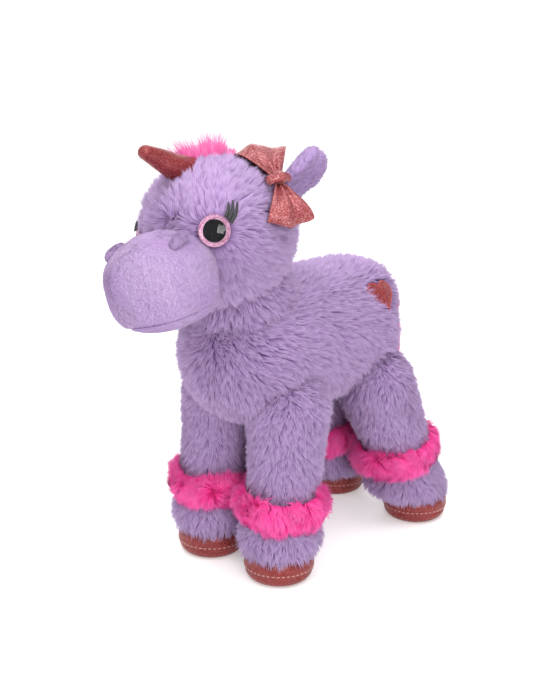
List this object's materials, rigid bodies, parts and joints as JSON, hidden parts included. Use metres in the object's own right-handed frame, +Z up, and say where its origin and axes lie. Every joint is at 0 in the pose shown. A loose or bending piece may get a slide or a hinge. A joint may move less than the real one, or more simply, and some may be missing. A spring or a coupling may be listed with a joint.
{
  "type": "plush unicorn",
  "caption": "Standing stuffed unicorn with a lavender pile, hot-pink forelock and leg bands, glitter horn, bow and hooves, and big domed eyes.",
  "frame": {"origin": "on the ground, under the middle of the whole toy (the middle of its bounding box)", "axes": "+Z up, -Y the way the muzzle points, +X the animal's left"},
  "size_m": [0.1537, 0.29, 0.3093],
  "materials": {
    "lavender_plush": "dense plush pile, 10 to 14 mm long",
    "muzzle_nap": "short smooth nap, softly mottled",
    "hot_pink_pile": "shaggy long pile",
    "red_glitter_fabric": "fine glitter on cloth",
    "fibre_stuffing": "loose polyester fibre",
    "clear_plastic": "clear polished dome",
    "pink_glitter_disc": "glitter under a clear coat",
    "black_plastic": "polished",
    "white_plastic": "moulded",
    "black_thread": "thread",
    "purple_thread": "thread"
  },
  "bodies": {
    "torso": {"torso_left_panel": "lavender_plush", "torso_right_panel": "lavender_plush", "belly_gusset": "lavender_plush", "torso_stuffing": "fibre_stuffing", "heart_patch_left": "red_glitter_fabric", "heart_patch_right": "red_glitter_fabric"},
    "neck": {"neck_stuffing": "fibre_stuffing"},
    "head": {"head_left_panel": "lavender_plush", "head_right_panel": "lavender_plush", "head_gusset": "lavender_plush", "head_stuffing": "fibre_stuffing", "muzzle_cover": "muzzle_nap", "chin_panel": "muzzle_nap", "mouth_stitching": "purple_thread", "nostril_tabs": "muzzle_nap", "forelock": "hot_pink_pile", "eye_lens_left": "clear_plastic", "eye_lens_right": "clear_plastic", "eye_iris_left": "pink_glitter_disc", "eye_iris_right": "pink_glitter_disc", "eye_pupil_left": "black_plastic", "eye_pupil_right": "black_plastic", "eye_posts": "white_plastic", "eye_washers": "white_plastic", "eyelashes_left": "black_thread", "eyelashes_right": "black_thread"},
    "horn": {"horn_cover": "red_glitter_fabric", "horn_stuffing": "fibre_stuffing"},
    "ear_left": {"ear_left_outer": "lavender_plush", "ear_left_lining": "muzzle_nap"},
    "ear_right": {"ear_right_outer": "lavender_plush", "ear_right_lining": "muzzle_nap"},
    "bow": {"bow_loops": "red_glitter_fabric", "bow_knot": "red_glitter_fabric"},
    "tail_base": {"tail_root": "hot_pink_pile"},
    "tail": {"tail_core": "fibre_stuffing", "tail_pile": "hot_pink_pile"},
    "front_left_leg": {"front_left_leg_cover": "lavender_plush", "front_left_leg_stuffing": "fibre_stuffing", "front_left_fur_band": "hot_pink_pile", "front_left_hoof_upper": "red_glitter_fabric", "front_left_hoof_sole": "red_glitter_fabric"},
    "front_right_leg": {"front_right_leg_cover": "lavender_plush", "front_right_leg_stuffing": "fibre_stuffing", "front_right_fur_band": "hot_pink_pile", "front_right_hoof_upper": "red_glitter_fabric", "front_right_hoof_sole": "red_glitter_fabric"},
    "hind_left_leg": {"hind_left_leg_cover": "lavender_plush", "hind_left_leg_stuffing": "fibre_stuffing", "hind_left_fur_band": "hot_pink_pile", "hind_left_hoof_upper": "red_glitter_fabric", "hind_left_hoof_sole": "red_glitter_fabric"},
    "hind_right_leg": {"hind_right_leg_cover": "lavender_plush", "hind_right_leg_stuffing": "fibre_stuffing", "hind_right_fur_band": "hot_pink_pile", "hind_right_hoof_upper": "red_glitter_fabric", "hind_right_hoof_sole": "red_glitter_fabric"}
  },
  "joints": [
    {"name": "neck_turn", "type": "hinge", "parent": "torso", "child": "neck", "pos_m": [0.006, -0.0357, 0.196], "axis": [0, 0, 1], "range_deg": [-20, 20], "stiffness_Nm_per_rad": 1},
    {"name": "head_nod", "type": "hinge", "parent": "neck", "child": "head", "pos_m": [0.006, -0.0357, 0.196], "axis": [1, 0, 0], "range_deg": [-10, 8], "stiffness_Nm_per_rad": 2.5},
    {"name": "ear_left_fold", "type": "hinge", "parent": "head", "child": "ear_left", "pos_m": [0.03163, -0.01201, 0.27427], "axis": [-0.3983, 0.7023, -0.5901], "range_deg": [-20, 30], "stiffness_Nm_per_rad": 0.05},
    {"name": "ear_right_fold", "type": "hinge", "parent": "head", "child": "ear_right", "pos_m": [-0.05023, -0.01917, 0.25225], "axis": [0.5194, 0.7825, -0.3433], "range_deg": [-30, 30], "stiffness_Nm_per_rad": 0.05},
    {"name": "horn_flex", "type": "hinge", "parent": "head", "child": "horn", "pos_m": [-0.01013, -0.07008, 0.28405], "axis": [0.9622, 0.0842, 0.2588], "range_deg": [-8, 8], "stiffness_Nm_per_rad": 0.2},
    {"name": "bow_twist", "type": "hinge", "parent": "head", "child": "bow", "pos_m": [0.03332, -0.03099, 0.27983], "axis": [0.6451, 0.3235, 0.6923], "range_deg": [-5, 15], "stiffness_Nm_per_rad": 0.05},
    {"name": "tail_swing", "type": "hinge", "parent": "torso", "child": "tail_base", "pos_m": [0.006, 0.1263, 0.176], "axis": [0, 1, 0], "range_deg": [-25, 25]},
    {"name": "tail_lift", "type": "hinge", "parent": "tail_base", "child": "tail", "pos_m": [0.006, 0.1263, 0.176], "axis": [1, 0, 0], "range_deg": [0, 40]},
    {"name": "front_left_leg_swing", "type": "hinge", "parent": "torso", "child": "front_left_leg", "pos_m": [0.0385, -0.0207, 0.122], "axis": [1, 0, 0], "range_deg": [-10, 10], "stiffness_Nm_per_rad": 3},
    {"name": "front_right_leg_swing", "type": "hinge", "parent": "torso", "child": "front_right_leg", "pos_m": [-0.0265, -0.0207, 0.122], "axis": [1, 0, 0], "range_deg": [-10, 10], "stiffness_Nm_per_rad": 3},
    {"name": "hind_left_leg_swing", "type": "hinge", "parent": "torso", "child": "hind_left_leg", "pos_m": [0.041, 0.0743, 0.118], "axis": [1, 0, 0], "range_deg": [-10, 10], "stiffness_Nm_per_rad": 3},
    {"name": "hind_right_leg_swing", "type": "hinge", "parent": "torso", "child": "hind_right_leg", "pos_m": [-0.029, 0.0743, 0.118], "axis": [1, 0, 0], "range_deg": [-10, 10], "stiffness_Nm_per_rad": 3}
  ]
}
